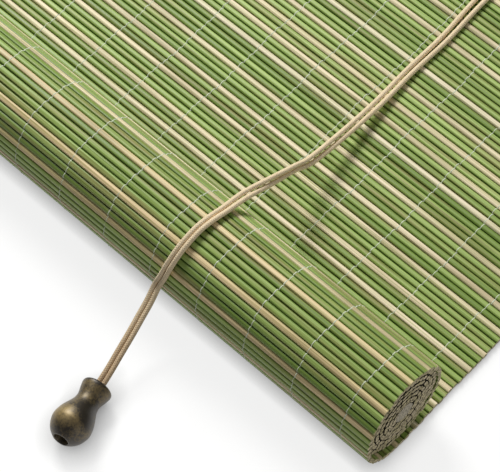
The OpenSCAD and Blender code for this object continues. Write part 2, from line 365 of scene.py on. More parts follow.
def braided_cotton(sizes):
    """Braided cotton cord: soft and dull, with strands that cross on a slant."""
    material, tree, shader = start_material("braided_cotton")
    spot = add_node(tree, "ShaderNodeUVMap", uv_map="UVMap").outputs[0]
    # U goes once round the cord, V counts diameters, and 4 strands cross each way.
    strands = []
    for slant in (38, -38):
        turned = add_node(
            tree, "ShaderNodeMapping",
            {"Vector": spot, "Rotation": (0, 0, math.radians(slant)), "Scale": (1.1, 0.9, 1)},
        )
        wave = add_node(
            tree, "ShaderNodeTexWave",
            {"Vector": turned.outputs[0], "Scale": 1.3, "Distortion": 0.6, "Detail": 1.0},
            wave_profile="SIN", bands_direction="X",
        )
        strands.append(wave.outputs["Fac"])
    height = add_node(tree, "ShaderNodeMath", {0: strands[0], 1: strands[1]}, operation="MAXIMUM")
    place = add_node(tree, "ShaderNodeTexCoord").outputs["Object"]
    # Lint lies in patches 2.4 mm wide.
    lint = add_node(tree, "ShaderNodeTexNoise", {"Vector": place, "Scale": 420.0, "Detail": 3.0})
    worn = add_node(
        tree, "ShaderNodeMix",
        {0: lint.outputs["Fac"], 6: tuple(sizes.cotton), 7: linear("#e8cfa4")}, data_type="RGBA",
    )
    shade = add_node(
        tree, "ShaderNodeMapRange",
        {"Value": height.outputs[0], "From Min": 0.3, "To Min": 0.84, "To Max": 1.06},
    )
    unshaded = add_node(
        tree, "ShaderNodeVectorMath", {0: worn.outputs[2], 1: shade.outputs[0]}, operation="MULTIPLY"
    )
    # Painted shade: along their front stretch the cords get darker towards the knob.
    front_shade = add_node(tree, "ShaderNodeAttribute", attribute_name="cord_front_shade").outputs["Fac"]
    front_shade_tint = add_node(
        tree, "ShaderNodeMix", {0: front_shade, 6: (1, 1, 1, 1), 7: (0.70, 0.63, 0.58, 1)}, data_type="RGBA"
    )
    colour = add_node(
        tree, "ShaderNodeVectorMath", {0: unshaded.outputs[0], 1: front_shade_tint.outputs[2]}, operation="MULTIPLY"
    )
    bump = add_node(
        tree, "ShaderNodeBump", {"Height": height.outputs[0], "Strength": 0.6, "Distance": 0.25 * MM}
    )
    fill(tree, shader, {
        "Base Color": colour.outputs[0], "Normal": bump.outputs[0], "Roughness": 0.85,
        "Sheen Weight": 0.15,
    })
    return material


def aged_brass(sizes):
    """Turned brass under a dark lacquer patina, rubbed golden in soft patches with fine wear."""
    material, tree, shader = start_material("aged_brass")
    place = add_node(tree, "ShaderNodeTexCoord").outputs["Object"]
    # Rubbed patches are 13 mm wide, the wear in them 1 mm.
    cloud = add_node(
        tree, "ShaderNodeTexNoise", {"Vector": place, "Scale": 75.0, "Detail": 3.0, "Roughness": 0.55}
    )
    wear = add_node(
        tree, "ShaderNodeTexNoise", {"Vector": place, "Scale": 950.0, "Detail": 3.0, "Roughness": 0.7}
    )
    both = add_node(
        tree, "ShaderNodeMath",
        {0: wear.outputs["Fac"], 1: 0.6, 2: cloud.outputs["Fac"]}, operation="MULTIPLY_ADD",
    )
    # Wear on the bulb and lip, with painted light on the side the light falls on.
    ring = add_node(tree, "ShaderNodeAttribute", attribute_name="rub_wear_and_light").outputs["Fac"]
    wear_and_light = add_node(
        tree, "ShaderNodeMath", {0: ring, 1: 0.42, 2: both.outputs[0]}, operation="MULTIPLY_ADD"
    )
    rubbed = add_node(
        tree, "ShaderNodeMapRange",
        {"Value": wear_and_light.outputs[0], "From Min": 0.78, "From Max": 1.36},
    )
    colour = add_node(
        tree, "ShaderNodeMix",
        {0: rubbed.outputs[0], 6: tuple(sizes.patina), 7: tuple(sizes.brass)}, data_type="RGBA",
    )
    rough = add_node(
        tree, "ShaderNodeMapRange",
        {"Value": wear.outputs["Fac"], "From Min": 0.3, "From Max": 0.7, "To Min": 0.42, "To Max": 0.62},
    )
    bump = add_node(
        tree, "ShaderNodeBump", {"Height": wear.outputs["Fac"], "Strength": 0.15, "Distance": 0.1 * MM}
    )
    fill(tree, shader, {
        "Base Color": colour.outputs[2], "Roughness": rough.outputs[0], "Normal": bump.outputs[0],
        "Metallic": 0.6, "Coat Weight": 0.6, "Coat Roughness": 0.42,
    })
    return material


def planed_wood(name, pale, dark, lines=420):
    """Planed wood, lightly oiled: straight grain along X, with so many lines to a metre."""
    material, tree, shader = start_material(name)
    place = add_node(tree, "ShaderNodeTexCoord").outputs["Object"]
    along = add_node(tree, "ShaderNodeMapping", {"Vector": place, "Scale": (9, lines, lines)})
    grain = add_node(tree, "ShaderNodeTexNoise", {"Vector": along.outputs[0], "Scale": 1.0, "Detail": 4.0})
    bands = add_node(
        tree, "ShaderNodeMapRange", {"Value": grain.outputs["Fac"], "From Min": 0.36, "From Max": 0.66}
    )
    colour = add_node(
        tree, "ShaderNodeMix",
        {0: bands.outputs[0], 6: linear(pale), 7: linear(dark)}, data_type="RGBA",
    )
    bump = add_node(
        tree, "ShaderNodeBump", {"Height": grain.outputs["Fac"], "Strength": 0.25, "Distance": 0.2 * MM}
    )
    fill(tree, shader, {"Base Color": colour.outputs[2], "Normal": bump.outputs[0], "Roughness": 0.55})
    return material


def zinc_plate():
    """Zinc-plated sheet steel: dull grey under its oxide, slightly blotched."""
    material, tree, shader = start_material("zinc_plated_steel")
    place = add_node(tree, "ShaderNodeTexCoord").outputs["Object"]
    # Blotches of oxide are 4.5 mm wide.
    cloud = add_node(tree, "ShaderNodeTexNoise", {"Vector": place, "Scale": 220.0, "Detail": 3.0})
    colour = add_node(
        tree, "ShaderNodeMix",
        {0: cloud.outputs["Fac"], 6: linear("#b9bbb9"), 7: linear("#8d9091")}, data_type="RGBA",
    )
    rough = add_node(
        tree, "ShaderNodeMapRange",
        {"Value": cloud.outputs["Fac"], "From Min": 0.3, "From Max": 0.7, "To Min": 0.5, "To Max": 0.68},
    )
    fill(tree, shader, {"Base Color": colour.outputs[2], "Roughness": rough.outputs[0], "Metallic": 0.7})
    return material


def moulded_nylon():
    """Moulded dark nylon: even, slightly rough, with a weak grain."""
    material, tree, shader = start_material("moulded_nylon")
    place = add_node(tree, "ShaderNodeTexCoord").outputs["Object"]
    # The grain is drawn 0.7 mm wide, coarser than it is, so that it shows.
    grain = add_node(tree, "ShaderNodeTexNoise", {"Vector": place, "Scale": 1400.0, "Detail": 1.0})
    colour = add_node(
        tree, "ShaderNodeMix",
        {0: grain.outputs["Fac"], 6: linear("#3c3a37"), 7: linear("#2a2826")}, data_type="RGBA",
    )
    bump = add_node(
        tree, "ShaderNodeBump", {"Height": grain.outputs["Fac"], "Strength": 0.2, "Distance": 0.05 * MM}
    )
    fill(tree, shader, {"Base Color": colour.outputs[2], "Normal": bump.outputs[0], "Roughness": 0.5})
    return material


def white_paper():
    """White paper floor: dull, grey in the light it gives back, white to whoever looks at it."""
    material, tree, shader = start_material("white_paper_floor")
    fill(tree, shader, {"Base Color": linear("#80807e"), "Roughness": 0.9})
    path = add_node(tree, "ShaderNodeLightPath")
    mirrored = add_node(
        tree, "ShaderNodeMath",
        {0: path.outputs["Is Glossy Ray"], 1: path.outputs["Is Transmission Ray"]}, operation="MAXIMUM",
    )
    shown = add_node(
        tree, "ShaderNodeMath",
        {0: path.outputs["Is Camera Ray"], 1: mirrored.outputs[0]}, operation="MAXIMUM",
    )
    # Painted contact shadow: within 12 mm of what lies on it, the paper's glow is dimmed, so it gets darker.
    # Elsewhere the light on it makes up for 0.83.
    painted_contact_shadow = add_node(tree, "ShaderNodeAmbientOcclusion", {"Distance": 12 * MM})
    glow_with_contact_shadow = add_node(tree, "ShaderNodeMath", {0: painted_contact_shadow.outputs["AO"], 1: 0.83}, operation="MULTIPLY")
    white = add_node(
        tree, "ShaderNodeMath", {0: shown.outputs[0], 1: glow_with_contact_shadow.outputs[0]}, operation="MULTIPLY"
    )
    fill(tree, shader, {"Emission Color": (1, 1, 1, 1), "Emission Strength": white.outputs[0]})
    return material


# Rounding of a slat's long edges.
FRONT_ROUND = 1.25 * MM
BACK_ROUND = 1.15 * MM


def slat_model(sizes, skin, cut):
    """One slat along X: rounded front upwards, flatter back, cut ends in their own material."""
    deselect()
    bpy.ops.mesh.primitive_cube_add(size=1)
    slat = bpy.context.object
    slat.scale = (sizes.length, sizes.width, sizes.thickness)
    bpy.ops.object.transform_apply(location=False, rotation=False, scale=True)
    for side, offset in ((1, FRONT_ROUND), (-1, BACK_ROUND)):
        bpy.ops.object.mode_set(mode="EDIT")
        bpy.ops.mesh.select_all(action="DESELECT")
        bpy.ops.mesh.select_mode(type="EDGE")
        shape = bmesh.from_edit_mesh(slat.data)
        for edge in shape.edges:
            ends = [v.co for v in edge.verts]
            long_edge = abs(ends[0].x - ends[1].x) > sizes.length / 2
            corner = all(side * c.z > 0.49 * sizes.thickness and abs(c.y) > 0.49 * sizes.width for c in ends)
            edge.select_set(long_edge and corner)
        bmesh.update_edit_mesh(slat.data)
        bpy.ops.mesh.bevel(offset=offset, segments=4, profile=0.5, affect="EDGES")
        bpy.ops.object.mode_set(mode="OBJECT")
    bpy.ops.object.mode_set(mode="EDIT")
    # Cuts along the slat let it bow.
    for share in (-0.3, -0.1, 0.1, 0.3):
        bpy.ops.mesh.select_all(action="SELECT")
        bpy.ops.mesh.bisect(plane_co=(share * sizes.length, 0, 0), plane_no=(1, 0, 0))
    bpy.ops.object.mode_set(mode="OBJECT")
    bpy.ops.object.shade_smooth_by_angle(angle=math.radians(50))
    slat.data.materials.append(skin)
    slat.data.materials.append(cut)
    for face in slat.data.polygons:
        face.material_index = 1 if abs(face.normal.x) > 0.9 else 0
    slat.data.attributes.new("slat_tone", "FLOAT_COLOR", "POINT")
    # How close each point lies to a long edge, where the skin gets painted shade for the gaps between slats.
    flank = slat.data.attributes.new("slat_flank_shade", "FLOAT", "POINT")
    for vertex, spot in zip(slat.data.vertices, flank.data):
        spot.value = max(0.0, (abs(vertex.co.y) / (sizes.width / 2) - 0.6) / 0.4)
    return slat


def slat_copy(model, place, kind, chance, depth=0.0, warm=False):
    """A copy of the slat with its own mesh: its own shade, width, bow and length.

    Kind 1 is a natural slat, kind 0 a stained one. Depth 1 is a slat of the inner turns, where
    little light comes in, and its skin gets painted shade. A warm natural slat is more tan than cream.
    """
    slat = copied(model)
    mesh = slat.data
    count = len(mesh.vertices)
    co = np.empty(count * 3, np.float32)
    mesh.vertices.foreach_get("co", co)
    co = co.reshape(-1, 3)
    half = np.abs(co[:, 0]).max()
    run = co[:, 0] / half
    co[:, 0] += np.where(run > 0.99, chance.uniform(-0.25, 0.2) * MM, 0)
    co[:, 0] += np.where(run < -0.99, chance.uniform(-0.2, 0.25) * MM, 0)
    co[:, 1] *= chance.uniform(0.96, 1.0)
    co[:, 2] *= chance.uniform(0.94 - 0.1 * depth, 1.0 + 0.06 * depth)
    co[:, 1] += np.sin(run * chance.uniform(2, 5) + chance.uniform(0, 6)) * chance.uniform(0, 0.08) * MM
    co[:, 2] += np.sin(run * chance.uniform(2, 5) + chance.uniform(0, 6)) * chance.uniform(0, 0.1) * MM
    mesh.vertices.foreach_set("co", co.ravel())
    mesh.transform(place)
    shade = chance.random()
    if kind:
        shade = 0.5 * shade + (0.5 if warm else 0)
    tone = np.tile(np.array([kind, shade, depth, 1.0], np.float32), count)
    mesh.attributes["slat_tone"].data.foreach_set("color", tone)
    return slat


# Numbers of the natural slats, counted from the roll's lowest line, and the steps in which they go on.
FLAT_CREAM = [2, 6, 9, 13, 16, 20, 23, 27, 32, 35, 38, 41, 45, 51, 55, 61]
ROLLED_CREAM = [1, 5, 8, 11, 15, 19, 24, 28, 31]
CREAM_STEPS = [3, 4, 3, 4, 5, 3, 3, 3, 4, 6, 4, 6]


def cream_slats(first, count):
    """Numbers of the natural slats among so many, of which the first ones are given."""
    numbers = list(first)
    for step in itertools.cycle(CREAM_STEPS):
        if numbers[-1] >= count:
            return set(numbers)
        numbers.append(numbers[-1] + step)


# Slats in the outermost turn of the roll, and the first on its far side, where natural ones are paler.
OUTER_TURN = 47
FAR_SIDE = 26
# Rolled slats that have their warp stitches: those that show.
STITCHED = 54
# Thin slats that fill the space where the last turn ends beside the rod, and their plays.
WEDGED = 9
ROD_PLAY = 0.15 * MM
TURN_PLAY = 0.1 * MM
# How far slat ends stand out at the roll's foot, lie in at its second turn and come out again inside.
FOOT_OUT = 1.2 * MM
SECOND_IN = 2.2 * MM
INNER_OUT = 1.2 * MM


def end_drift(i):
    """How far a slat stands out to the right, since the blind isn't rolled up quite straight.

    Slats count up the blind from the roll's lowest line, and the roll's have negative numbers.
    Ends stand out most at the roll's 9th slat, go in up to its 52nd and come out again from there.
    """
    out = FOOT_OUT * math.exp(-(((i + 9) / 8) ** 2))
    step = min(1.0, max(0.0, (-i - 12) / 40))
    back = INNER_OUT * max(0, -i - 52) / 164
    return out - SECOND_IN * step * step * (3 - 2 * step) + back


def flat_place(sizes, i):
    """Matrix of a flat slat, counted up the blind from the roll's lowest line."""
    y = sizes.roll_y + (i + sizes.phase) * sizes.pitch
    return Matrix.Translation((end_drift(i), y, sizes.thickness / 2))


def roll_place(sizes, i):
    """Matrix of a rolled slat, counted from the roll's lowest line into the roll."""
    s = (i + 1 - sizes.phase) * sizes.pitch
    middle = sizes.roll_radius - sizes.thickness / 2
    layer = sizes.layer
    angle = (middle - math.sqrt(middle * middle - layer * s / math.pi)) * 2 * math.pi / layer
    radius = middle - layer * angle / (2 * math.pi)
    y = sizes.roll_y - radius * math.sin(angle)
    z = sizes.roll_radius - radius * math.cos(angle)
    return Matrix.Translation((end_drift(-i), y, z)) @ Matrix.Rotation(-angle, 4, "X")


def wedge_place(sizes, k):
    """Matrix of a thin slat between the rod and the turn round it, counted from the last full slat."""
    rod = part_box("bottom_rod")
    inner = (rod[1][2] - rod[0][2]) / 2 + ROD_PLAY
    last = roll_place(sizes, sizes.roll_count - 1)
    middle = Vector((last.translation.x, sizes.roll_y, sizes.roll_radius))
    core = last.translation - middle
    step = sizes.pitch / core.length * (k + 1)
    outer = core.length + sizes.layer * (1 - step / (2 * math.pi)) - sizes.thickness / 2 - TURN_PLAY
    thin = min(1.0, (outer - inner) / sizes.thickness)
    radius = inner + thin * sizes.thickness / 2
    spot = Matrix.Rotation(-step, 3, "X") @ core.normalized() * radius
    turned = Matrix.Rotation(-step, 4, "X") @ last.to_quaternion().to_matrix().to_4x4()
    return Matrix.Translation(middle + spot) @ turned @ Matrix.Scale(thin, 4, (0, 0, 1))


class BLIND_OT_flat_mat(bpy.types.Operator):
    """Lays the flat slats, the lower ones as a piece that the roll takes up"""

    bl_idname = "blind.flat_mat"
    bl_label = "Flat Mat"

    def execute(self, context):
        sizes = context.scene.blind_slats
        model = slat_model(sizes, bamboo_skin(sizes), bamboo_cut())
        chance = random.Random(5)
        cream = cream_slats(FLAT_CREAM, sizes.flat_count)
        taken, staying = [], []
        for i in range(sizes.flat_count):
            place = flat_place(sizes, i)
            slat = slat_copy(model, place, float(i in cream), chance)
            (taken if i < sizes.taken_count else staying).append(slat)
        lower = joined("mat_taken_up", taken)
        upper = joined("mat_staying", staying)
        bpy.data.objects.remove(model)
        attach(lower, "blind")
        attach(upper, "blind")
        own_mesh(lower)
        for piece in (lower, upper):
            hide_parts("flat_mat")
        return {"FINISHED"}


class BLIND_OT_roll(bpy.types.Operator):
    """Winds the rolled slats from the roll's lowest line in to the rod"""

    bl_idname = "blind.roll"
    bl_label = "Roll"

    def execute(self, context):
        sizes = context.scene.blind_slats
        model = slat_model(sizes, bpy.data.materials["split_bamboo"], bpy.data.materials["sawn_bamboo_end"])
        chance = random.Random(11)
        cream = cream_slats(ROLLED_CREAM, sizes.roll_count)
        slats = []
        for i in range(sizes.roll_count):
            # Past the outermost turn a slat's skin gets painted shade.
            depth = 0.0 if i < OUTER_TURN else 1.0
            place = roll_place(sizes, i)
            slats.append(slat_copy(model, place, float(i in cream), chance, depth, warm=i < FAR_SIDE))
        for k in range(WEDGED):
            slats.append(slat_copy(model, wedge_place(sizes, k), 0.0, chance, 1.0))
        roll = joined("roll_slats", slats)
        bpy.data.objects.remove(model)
        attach(roll, "roll")
        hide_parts("roll_turns")
        return {"FINISHED"}


def stitch_model(sizes, side, dip):
    """One stitch of thread over a slat's front, or under its back for side -1."""
    deselect()
    bpy.ops.mesh.primitive_grid_add(x_subdivisions=2, y_subdivisions=6, size=1)
    stitch = bpy.context.object
    half = sizes.thickness / 2
    # It lies on the slat's crown, dips at the gaps and is rounded across.
    for vertex in stitch.data.vertices:
        across, along = vertex.co.x, vertex.co.y * 2
        lift = half * (1.02 - dip * abs(along) ** 3.2)
        lift += (0.16 if abs(across) < 0.1 else -0.04) * MM
        vertex.co = (across * sizes.thread_width, along * sizes.pitch * 0.5, side * lift)
    if side < 0:
        stitch.data.flip_normals()
    bpy.ops.object.shade_smooth()
    return stitch


def thread_lines(sizes):
    """X of the warp threads, from the right end."""
    count = int((sizes.length - sizes.thread_margin) / sizes.thread_spacing) + 1
    return [sizes.length / 2 - sizes.thread_margin - i * sizes.thread_spacing for i in range(count)]


def stitched(name, sizes, places, sides, material, zigzag=0.18 * MM, dip=0.72):
    """Threads as one mesh: a stitch at each thread line on each place, wandering from slat to slat."""
    lines = thread_lines(sizes)
    copies = []
    for side in sides:
        model = stitch_model(sizes, side, dip)
        model.data.materials.append(material)
        row = []
        for x in lines:
            copy = copied(model)
            copy.data.transform(Matrix.Translation((x, 0, 0)))
            row.append(copy)
        band = joined("band", row)
        bpy.data.objects.remove(model)
        for number, place in enumerate(places):
            copy = copied(band)
            shift = zigzag if number % 2 else -zigzag
            wander = 0.45 * MM * math.sin(number * 0.31) + 0.3 * MM * math.sin(number * 0.83 + 1)
            copy.data.transform(place @ Matrix.Translation((shift + wander, 0, 0)))
            copies.append(copy)
        bpy.data.objects.remove(band)
    return joined(name, copies)


class BLIND_OT_threads(bpy.types.Operator):
    """Weaves the warp threads over the slats"""

    bl_idname = "blind.threads"
    bl_label = "Threads"

    def execute(self, context):
        sizes = context.scene.blind_slats
        material = warp_thread()
        flat = [flat_place(sizes, i) for i in range(sizes.flat_count)]
        wound = [roll_place(sizes, i) for i in range(STITCHED)]
        lower = stitched("threads_taken_up", sizes, flat[:sizes.taken_count], (1, -1), material)
        upper = stitched("threads_staying", sizes, flat[sizes.taken_count:], (1, -1), material)
        roll = stitched("threads_on_roll", sizes, wound, (-1,), material, zigzag=0.16 * MM, dip=0.62)
        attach(lower, "blind")
        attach(upper, "blind")
        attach(roll, "roll")
        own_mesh(lower)
        return {"FINISHED"}


# The blind's right end. The cords' places are in millimetres, from there and from the roll's axis.
RIGHT_END = 450 * MM
# How far in the cords hang, and how far up the head rail's lower edge and the sheaves' pin are.
PULL_IN = 131
RAIL_EDGE = 380
LOCK = Vector((-139.05, 394, 0))
# How far a cord goes on past its sheave, its middle round it, its height there and on the mat.
PAST_SHEAVE = 9
WRAP_RADIUS = 8.05
SHEAVE_Z = {"left": 27.3, "right": 21.0}
MAT_Z = 3.9
ROLL_R = 28
CORD_SIDES = 14
CORD_STEP = 1.6 * MM

# Spots on a cord's way: aside of the lock in millimetres, along from the roll's axis
# and up from the mat in roll radii, and how far the pair of cords is turned about itself.
ON_MAT = [
    (0.25, 8.929, 0, 0), (0.3, 7.357, 0, 0), (2, 6.286, 0, 0), (2, 5.357, 0.02, 10), (4, 4.214, 0.136, 20),
    (5.8, 2.732, 0.475, 55), (6.5, 2.143, 0.839, 80), (7, 1.55, 1.189, 60), (7.7, 0.954, 1.562, 25),
]
ON_ROLL = [
    (8.5, 0.464, 1.775, 5), (8.1, 0.107, 1.875, 0), (7.5, -0.179, 1.868, 0), (7, -0.529, 1.745, 0),
    (6.2, -0.807, 1.5, 0),
]
IN_FRONT = [
    (5.2, -0.962, 1.245, 0), (3, -1.048, 0.968, 0), (3.7, -1.286, 0.754, 0), (4.8, -1.571, 0.6, 0),
    (6.1, -1.857, 0.468, 0), (7.4, -2.164, 0.343, 0), (9.1, -2.5, 0.228, 0),
]
# The knob: where its rim is and how far it clears the floor, how far along the rim and the bulb are
# widest, how deep the pocket for the knot is, and how many faces go round it.
KNOB_AT = Vector((10.3 - PULL_IN, -2.811 * ROLL_R, 0))
KNOB_LIFT = 0.05
RIM_S = 1.6
BULB_SHARE = 0.697
POCKET_DEPTH = 8
KNOB_STEPS = 72
# In the knob's bore: how far the cords are from its axis, a spot on their way, and where they end
# before the knob's far end.
BORE_ASIDE = 1.35
BORE_SPOT = 12
CORD_END = 8.3
# The side where rubbed brass is painted brightest, the upper one on which the light falls: painted light on
# top of wear.
RUBBED_LIT_SIDE = Vector((-0.5, -0.3, 0.81))


def knob_axis(sizes):
    """Place of the knob's rim and the direction to its far end, in millimetres."""
    rim_r, bulb_r = sizes.rim_radius / MM, sizes.bulb_radius / MM
    tilt = math.atan((bulb_r - rim_r) / (BULB_SHARE * sizes.knob_length / MM - RIM_S))
    rim = KNOB_AT + Vector((0, 0, rim_r * math.cos(tilt) - RIM_S * math.sin(tilt) + KNOB_LIFT))
    turn = sizes.knob_turn
    return rim, Vector((math.sin(turn) * math.cos(tilt), -math.cos(turn) * math.cos(tilt), math.sin(tilt)))


def cord_route(side, sizes):
    """Stretches of one cord, each a list of points that goes on where the last one ends."""
    sign = -1 if side == "left" else 1
    z = SHEAVE_Z[side]
    wrap = [LOCK + Vector((-PAST_SHEAVE, WRAP_RADIUS, z))]
    for step in range(90, -1, -30):
        turn = math.radians(step)
        wrap.append(LOCK + Vector((WRAP_RADIUS * math.cos(turn), WRAP_RADIUS * math.sin(turn), z)))
    drop = [
        Vector((sign * 0.2 - PULL_IN, RAIL_EDGE - 2, z - 1.2)),
        Vector((sign * 1 - PULL_IN, RAIL_EDGE - 24, MAT_Z + (z - MAT_Z) * 0.45)),
        Vector((sign * 2 - PULL_IN, RAIL_EDGE - 48, MAT_Z + 0.5)),
    ]
    rest = [Vector((sign * 2.2 - PULL_IN, RAIL_EDGE - 80, MAT_Z))]
    rim, heading = knob_axis(sizes)
    across = Vector((math.cos(sizes.knob_turn), math.sin(sizes.knob_turn), 0)) * BORE_ASIDE * sign
    bore = [rim + across + heading * s for s in (0, BORE_SPOT, sizes.knob_length / MM - CORD_END)]

    def lay(spots):
        # The cords lie side by side, and come apart a little up the mat.
        points = []
        for aside, along, up, twist in spots:
            turn = math.radians(twist)
            half = sign * max(1.3 + 0.4 * math.sin(turn), along * 0.28)
            spot = Vector((aside - PULL_IN, along * ROLL_R, MAT_Z + up * ROLL_R))
            points.append(spot + Vector((half * math.cos(turn), 0, -half * math.sin(turn))))
        return points

    return [wrap + drop, rest + lay(ON_MAT), lay(ON_ROLL), lay(IN_FRONT) + bore]


def smooth_line(points, step):
    """Points about a step apart on the smooth curve through these points, with the knots' places."""
    line, knots = [], []
    last = len(points) - 1
    for i in range(last):
        a, b = points[i], points[i + 1]
        before = points[i - 1] if i else a * 2 - b
        after = points[i + 2] if i + 2 <= last else b * 2 - a
        knots.append(len(line))
        pieces = max(2, round((b - a).length / step))
        for k in range(pieces):
            t = k / pieces
            line.append(0.5 * (
                2 * a + (b - before) * t + (2 * before - 5 * a + 4 * b - after) * t * t
                + (3 * a - before - 3 * b + after) * t ** 3
            ))
    knots.append(len(line))
    line.append(points[-1])
    return line, knots


def cord_mesh(name, line, first, last, radius, material, front_shaded=False):
    """Tube along line[first..last], with U round the cord and V along it in diameters.

    A front-shaded one gets painted shade, more and more towards its end.
    """
    sides = CORD_SIDES
    rings, runs = [], []
    run = 0.0
    for i in range(first, last + 1):
        ahead = (line[min(i + 1, len(line) - 1)] - line[max(i - 1, 0)]).normalized()
        across = Vector((1, 0, 1)).cross(ahead).normalized()
        over = ahead.cross(across)
        if i > first:
            run += (line[i] - line[i - 1]).length
        runs.append(run / (2 * radius))
        for k in range(sides):
            turn = 2 * math.pi * k / sides
            rings.append(line[i] + radius * (math.cos(turn) * across + math.sin(turn) * over))
    count = last - first + 1
    faces = []
    for i in range(count - 1):
        for k in range(sides):
            n = (k + 1) % sides
            faces.append((i * sides + k, i * sides + n, (i + 1) * sides + n, (i + 1) * sides + k))
    faces.append(tuple(range(sides - 1, -1, -1)))
    faces.append(tuple((count - 1) * sides + k for k in range(sides)))
    mesh = bpy.data.meshes.new(name)
    mesh.from_pydata([tuple(p) for p in rings], [], faces)
    uv = mesh.uv_layers.new(name="UVMap")
    for number, face in enumerate(mesh.polygons):
        for order, loop in enumerate(face.loop_indices):
            ring, k = divmod(mesh.loops[loop].vertex_index, sides)
            u = k / sides
            if number < (count - 1) * sides and order in (1, 2) and k == 0:
                u = 1.0
            uv.data[loop].uv = (u, runs[ring])
    front_shade = mesh.attributes.new("cord_front_shade", "FLOAT", "POINT")
    if front_shaded:
        for number, spot in enumerate(front_shade.data):
            share = runs[number // sides] / runs[-1]
            spot.value = min(1.0, max(0.0, (share - 0.1) / 0.5))
    mesh.materials.append(material)
    obj = bpy.data.objects.new(name, mesh)
    link(obj)
    take(obj)
    bpy.ops.object.shade_smooth_by_angle(angle=math.radians(60))
    return obj


def ride_along(piece, stretch):
    """Lets a stretch of a cord follow what it lies on while the roll rises."""
    if stretch == "roll":
        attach(piece, "rod")
        return
    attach(piece, "blind")
    if stretch == "mat":
        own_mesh(piece)
    elif stretch == "front":
        piece.parent = None
        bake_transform(piece)


class BLIND_OT_cords(bpy.types.Operator):
    """Runs the two pull cords from the lock over the roll to the knob"""

    bl_idname = "blind.cords"
    bl_label = "Pull Cords"

    def execute(self, context):
        sizes = context.scene.blind_cords
        slats = context.scene.blind_slats
        material = braided_cotton(sizes)
        to_frame = Vector((RIGHT_END, slats.roll_y, 0))
        for side in ("left", "right"):
            parts = cord_route(side, sizes)
            points = [p * MM + to_frame for part in parts for p in part]
            line, knots = smooth_line(points, CORD_STEP)
            ends = []
            total = 0
            for part in parts:
                total += len(part)
                ends.append(knots[total - 1])
            first = 0
            for stretch, last in zip(("lock", "mat", "roll", "front"), ends):
                piece = cord_mesh(
                    f"pull_cord_{side}_{stretch}", line, first, last, sizes.diameter / 2, material,
                    front_shaded=stretch == "front",
                )
                ride_along(piece, stretch)
                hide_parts(f"pull_cord_{side}")
                first = last
        return {"FINISHED"}


def knob_outline(sizes):
    """Closed outline of the turned knob: radius and distance from the rim, in millimetres."""
    rim, neck, bulb = sizes.rim_radius / MM, sizes.neck_radius / MM, sizes.bulb_radius / MM
    length, bore, pocket = sizes.knob_length / MM, sizes.bore_radius / MM, sizes.pocket_radius / MM
    outside = [
        (rim - 0.7, 0), (rim - 0.15, 0.5), (rim, RIM_S), (rim - 0.3, 3), (neck + 0.85, 0.151 * length),
        (neck + 0.3, 0.208 * length), (neck, 0.276 * length), (neck + 0.3, 0.349 * length),
        (neck + 1.1, 0.416 * length), (neck + 2.3, 0.5 * length), (bulb - 0.7, 0.583 * length),
        (bulb, BULB_SHARE * length), (bulb - 0.3, 0.775 * length), (bulb - 1.4, 0.865 * length),
        (bulb - 3, 0.935 * length), (bulb - 4.7, 0.98 * length), (bulb - 5.6, length),
    ]
    curve = smooth_line([Vector((r, 0, s)) for r, s in outside], 0.7)[0]
    floor = length - POCKET_DEPTH
    inside = [
        (pocket + 0.25, length), (pocket, length - 0.4), (pocket, floor), (bore, floor), (bore, 0.4),
        (bore + 0.4, 0),
    ]
    return [*curve, *(Vector((r, 0, s)) for r, s in inside)]


class BLIND_OT_knob(bpy.types.Operator):
    """Turns the knob at the ends of the cords"""

    bl_idname = "blind.knob"
    bl_label = "Pull Knob"

    def execute(self, context):
        sizes = context.scene.blind_cords
        slats = context.scene.blind_slats
        outline = [tuple(p * MM) for p in knob_outline(sizes)]
        mesh = bpy.data.meshes.new("pull_knob_turned")
        count = len(outline)
        mesh.from_pydata(outline, [(i, (i + 1) % count) for i in range(count)], [])
        knob = bpy.data.objects.new("pull_knob_turned", mesh)
        link(knob)
        take(knob)
        bpy.ops.object.mode_set(mode="EDIT")
        bpy.ops.mesh.select_all(action="SELECT")
        bpy.ops.mesh.spin(steps=KNOB_STEPS, angle=2 * math.pi, center=(0, 0, 0), axis=(0, 0, 1))
        bpy.ops.mesh.select_all(action="SELECT")
        bpy.ops.mesh.remove_doubles(threshold=0.001 * MM)
        bpy.ops.mesh.normals_make_consistent(inside=False)
        bpy.ops.object.mode_set(mode="OBJECT")
        bpy.ops.object.shade_smooth_by_angle(angle=math.radians(50))
        # The bulb is rubbed most and the lip a little; the side the light falls on gets more, which is
        # painted light.
        rubbed = mesh.attributes.new("rub_wear_and_light", "FLOAT", "POINT")
        for vertex, spot in zip(mesh.vertices, rubbed.data):
            share = vertex.co.z / sizes.knob_length
            bulge = math.exp(-(((share - 0.7) / 0.17) ** 2))
            lip = 0.3 * math.exp(-(((share - 0.07) / 0.05) ** 2))
            spot.value = bulge + lip
        rim, heading = knob_axis(sizes)
        turn = Vector((0, 0, 1)).rotation_difference(heading).to_matrix().to_4x4()
        place = Matrix.Translation(rim * MM + Vector((RIGHT_END, slats.roll_y, 0)))
        mesh.transform(place @ turn)
        # Painted light: the rubbed brass is kept to the side the light falls on.
        for vertex, spot in zip(mesh.vertices, rubbed.data):
            spot.value *= max(0.0, vertex.normal.dot(RUBBED_LIT_SIDE))
        mesh.materials.append(aged_brass(sizes))
        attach(knob, "blind")
        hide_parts("pull_knob")
        return {"FINISHED"}


